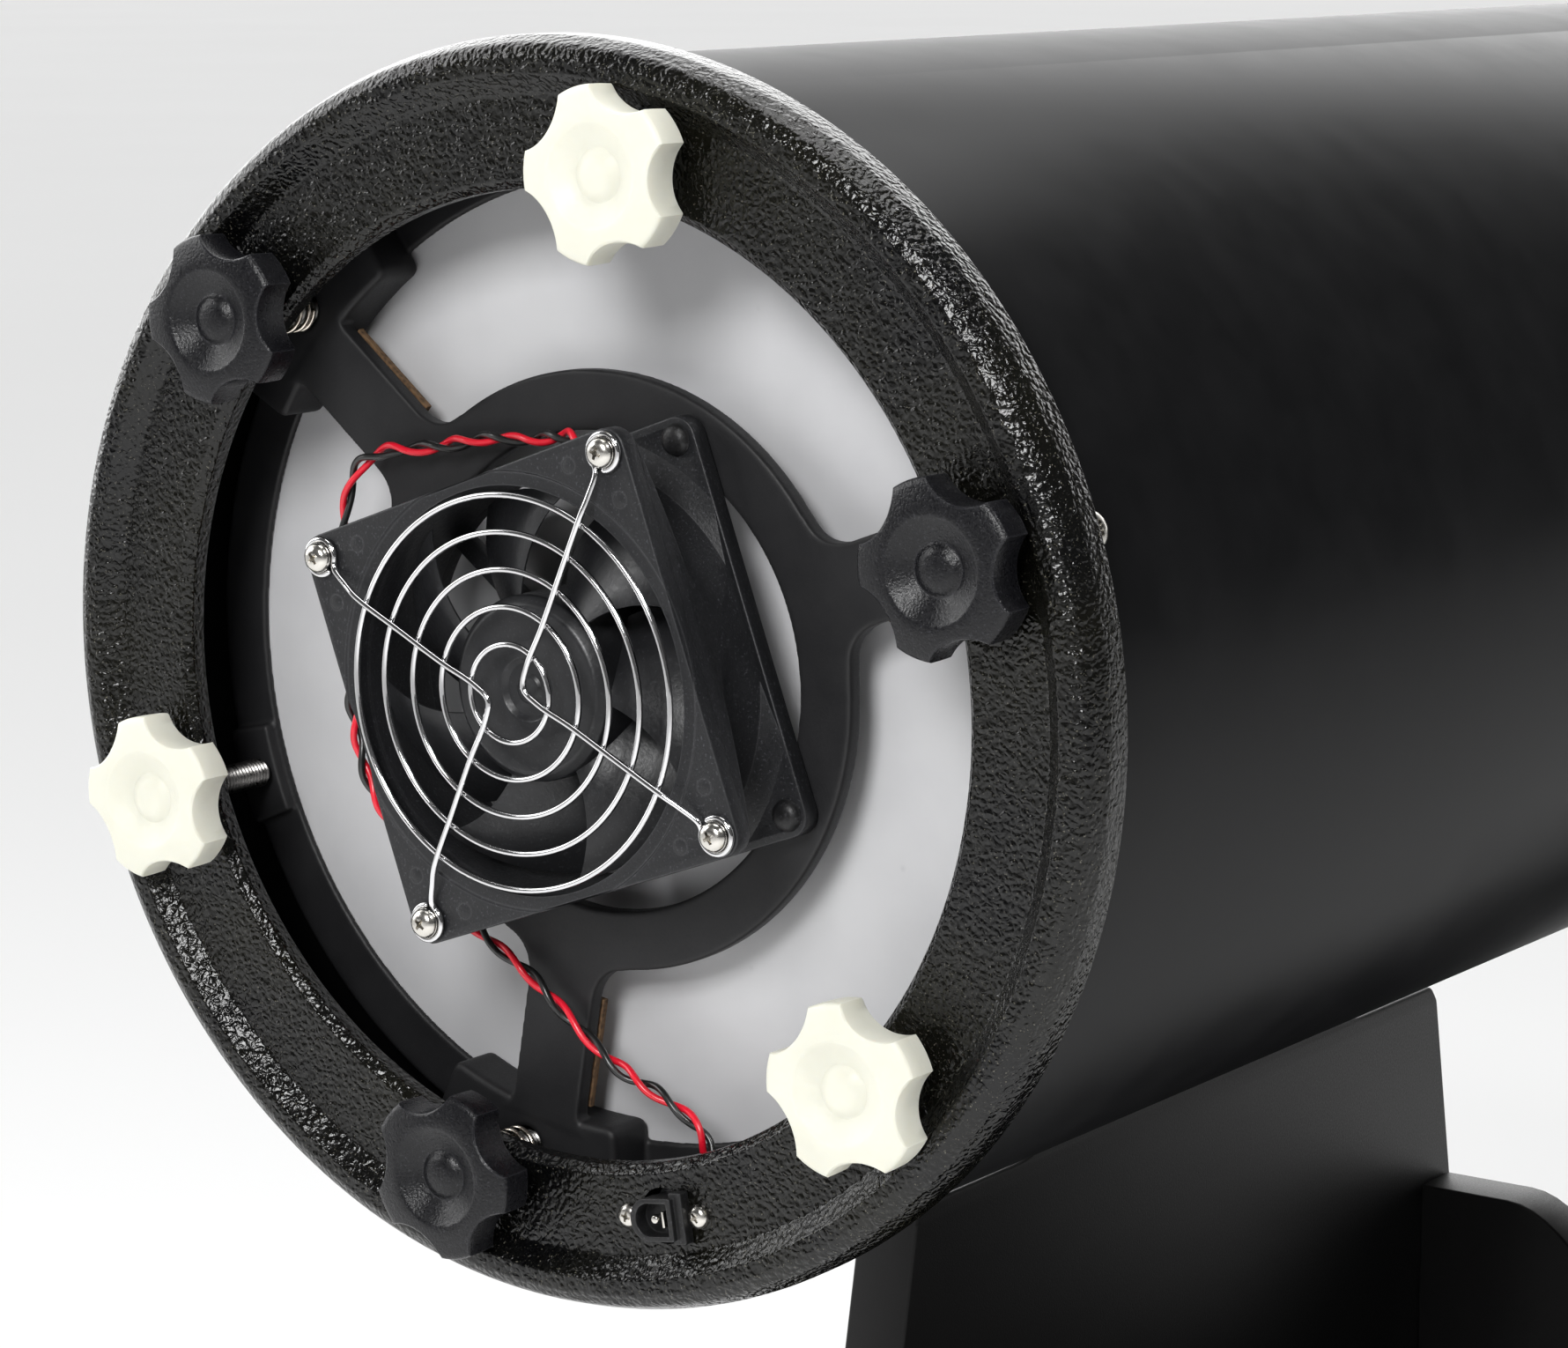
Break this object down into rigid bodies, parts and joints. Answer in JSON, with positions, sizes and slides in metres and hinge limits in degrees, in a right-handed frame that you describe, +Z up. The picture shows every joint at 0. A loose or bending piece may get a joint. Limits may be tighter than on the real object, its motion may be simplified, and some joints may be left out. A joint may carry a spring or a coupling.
{
  "type": "newtonian reflector telescope",
  "caption": "Tube reflector telescope on a rocker-box mount: rear cell with cooling fan and star knobs, spider, focuser, finder, side bearings, turntable.",
  "frame": {"origin": "on the floor, in the middle of the object's bounding box", "axes": "+Y along the level tube, from the mirror end to the open end; +Z up; +X to the right seen from behind the mirror"},
  "size_m": [0.54, 1.173, 0.8415],
  "materials": {
    "board": "black laminated particle board, fine leather-grain embossing, satin",
    "tube_paint": "satin black paint on rolled steel",
    "hammertone": "glossy black hammertone with fine silver speckle",
    "cast_cell": "satin black painted casting",
    "ivory_plastic": "ivory moulded plastic, soft sheen",
    "black_plastic": "black moulded plastic, fine texture",
    "chrome": "bright plated wire and tube",
    "ground_glass": "fine-ground glass back, aluminised front",
    "mirror": "front-surface mirror",
    "rubber": "black rubber",
    "nylon": "white nylon",
    "cable": "red and black insulated wires",
    "anodised": "black anodised, satin",
    "fan_plastic": "black glass-filled plastic",
    "zinc_steel": "zinc-plated steel"
  },
  "bodies": {
    "ground": {"ground_board": "board", "foot_1": "rubber", "foot_2": "rubber", "foot_3": "rubber", "pivot_bolt": "zinc_steel", "lower_race": "zinc_steel"},
    "roller_cage": {"roller_cage": "nylon"},
    "rocker": {"upper_race": "zinc_steel", "turntable_board": "board", "side_panel_left": "board", "side_panel_right": "board", "front_panel": "board", "carry_handle": "chrome", "eyepiece_rack": "tube_paint", "cradle_liner_left": "nylon", "cradle_liner_right": "nylon"},
    "azimuth_knob": {"azimuth_knob": "black_plastic"},
    "ota": {"tube": "tube_paint", "rear_ring": "hammertone", "front_ring": "hammertone", "dc_socket": "black_plastic", "fan_cable": "cable", "spider": "tube_paint", "focuser_body": "anodised", "finder_bracket": "anodised", "altitude_rail_left": "anodised", "altitude_rail_right": "anodised", "altitude_bearing_left": "black_plastic", "altitude_bearing_right": "black_plastic", "collimation_spring_1": "zinc_steel", "collimation_spring_2": "zinc_steel", "collimation_spring_3": "zinc_steel"},
    "altitude_knob_left": {"altitude_knob_left": "black_plastic"},
    "altitude_knob_right": {"altitude_knob_right": "black_plastic"},
    "cell": {"mirror_cell": "cast_cell", "primary_mirror": "ground_glass", "fan_frame": "fan_plastic", "fan_guard": "chrome", "fan_screw_1": "zinc_steel", "fan_screw_2": "zinc_steel", "fan_screw_3": "zinc_steel", "fan_screw_4": "zinc_steel"},
    "fan": {"fan_impeller": "fan_plastic"},
    "secondary": {"secondary_holder": "black_plastic", "secondary_mirror": "mirror"},
    "drawtube": {"focuser_drawtube": "chrome", "eyepiece": "anodised"},
    "focus_knobs": {"focus_shaft": "zinc_steel", "focus_knob_left": "black_plastic", "focus_knob_right": "black_plastic"},
    "finder": {"finder_scope": "anodised"},
    "collimation_knob_1": {"collimation_knob_1": "black_plastic"},
    "lock_knob_1": {"lock_knob_1": "ivory_plastic"},
    "collimation_knob_2": {"collimation_knob_2": "black_plastic"},
    "lock_knob_2": {"lock_knob_2": "ivory_plastic"},
    "collimation_knob_3": {"collimation_knob_3": "black_plastic"},
    "lock_knob_3": {"lock_knob_3": "ivory_plastic"}
  },
  "joints": [
    {"name": "azimuth_turn", "type": "hinge", "parent": "ground", "child": "rocker", "pos_m": [0, -0.0845, 0.047], "axis": [0, 0, 1], "continuous": true},
    {"name": "roller_cage_turn", "type": "hinge", "parent": "ground", "child": "roller_cage", "pos_m": [0, -0.0845, 0.043], "axis": [0, 0, 1], "continuous": true},
    {"name": "azimuth_knob_turn", "type": "hinge", "parent": "ground", "child": "azimuth_knob", "pos_m": [0, -0.0845, 0.074], "axis": [0, 0, 1], "range_deg": [-180, 180]},
    {"name": "altitude_tilt", "type": "hinge", "parent": "rocker", "child": "ota", "pos_m": [0, -0.0845, 0.604], "axis": [1, 0, 0], "range_deg": [-5, 90]},
    {"name": "altitude_knob_left_turn", "type": "hinge", "parent": "ota", "child": "altitude_knob_left", "pos_m": [-0.175, -0.0845, 0.604], "axis": [1, 0, 0], "range_deg": [-180, 180]},
    {"name": "altitude_knob_right_turn", "type": "hinge", "parent": "ota", "child": "altitude_knob_right", "pos_m": [0.175, -0.0845, 0.604], "axis": [1, 0, 0], "range_deg": [-180, 180]},
    {"name": "mirror_travel", "type": "slide", "parent": "ota", "child": "cell", "axis": [0, 1, 0], "range_m": [0, 0.004]},
    {"name": "fan_spin", "type": "hinge", "parent": "cell", "child": "fan", "pos_m": [0, -0.5735, 0.604], "axis": [0, 1, 0], "continuous": true},
    {"name": "secondary_tilt", "type": "hinge", "parent": "ota", "child": "secondary", "pos_m": [0, 0.4745, 0.604], "axis": [1, 0, 0], "range_deg": [-2, 2]},
    {"name": "focus_travel", "type": "slide", "parent": "ota", "child": "drawtube", "axis": [0, 0, 1], "range_m": [-0.007, 0.03]},
    {"name": "focus_knob_turn", "type": "hinge", "parent": "ota", "child": "focus_knobs", "pos_m": [0, 0.3885, 0.749], "axis": [1, 0, 0], "range_deg": [-140, 600]},
    {"name": "finder_tilt", "type": "hinge", "parent": "ota", "child": "finder", "pos_m": [0.11056, 0.3315, 0.73576], "axis": [0.766, 0, -0.6428], "range_deg": [-1.5, 1.5]},
    {"name": "collimation_knob_1_turn", "type": "hinge", "parent": "ota", "child": "collimation_knob_1", "pos_m": [0.09199, -0.5835, 0.63478], "axis": [0, 1, 0], "range_deg": [-1441, 1]},
    {"name": "lock_knob_1_turn", "type": "hinge", "parent": "ota", "child": "lock_knob_1", "pos_m": [0.01934, -0.5835, 0.69905], "axis": [0, 1, 0], "range_deg": [-360, 0]},
    {"name": "collimation_knob_2_turn", "type": "hinge", "parent": "ota", "child": "collimation_knob_2", "pos_m": [-0.07265, -0.5835, 0.66827], "axis": [0, 1, 0], "range_deg": [-1441, 1]},
    {"name": "lock_knob_2_turn", "type": "hinge", "parent": "ota", "child": "lock_knob_2", "pos_m": [-0.09199, -0.5835, 0.57322], "axis": [0, 1, 0], "range_deg": [-360, 0]},
    {"name": "collimation_knob_3_turn", "type": "hinge", "parent": "ota", "child": "collimation_knob_3", "pos_m": [-0.01934, -0.5835, 0.50895], "axis": [0, 1, 0], "range_deg": [-1441, 1]},
    {"name": "lock_knob_3_turn", "type": "hinge", "parent": "ota", "child": "lock_knob_3", "pos_m": [0.07265, -0.5835, 0.53973], "axis": [0, 1, 0], "range_deg": [-360, 0]}
  ],
  "couplings": [
    {"joint": "roller_cage_turn", "follows": "azimuth_turn", "ratio": 0.5},
    {"joint": "focus_knob_turn", "follows": "focus_travel", "rad_per_m": 344.83},
    {"joint": "collimation_knob_1_turn", "follows": "mirror_travel", "rad_per_m": -6283},
    {"joint": "collimation_knob_2_turn", "follows": "mirror_travel", "rad_per_m": -6283},
    {"joint": "collimation_knob_3_turn", "follows": "mirror_travel", "rad_per_m": -6283}
  ]
}
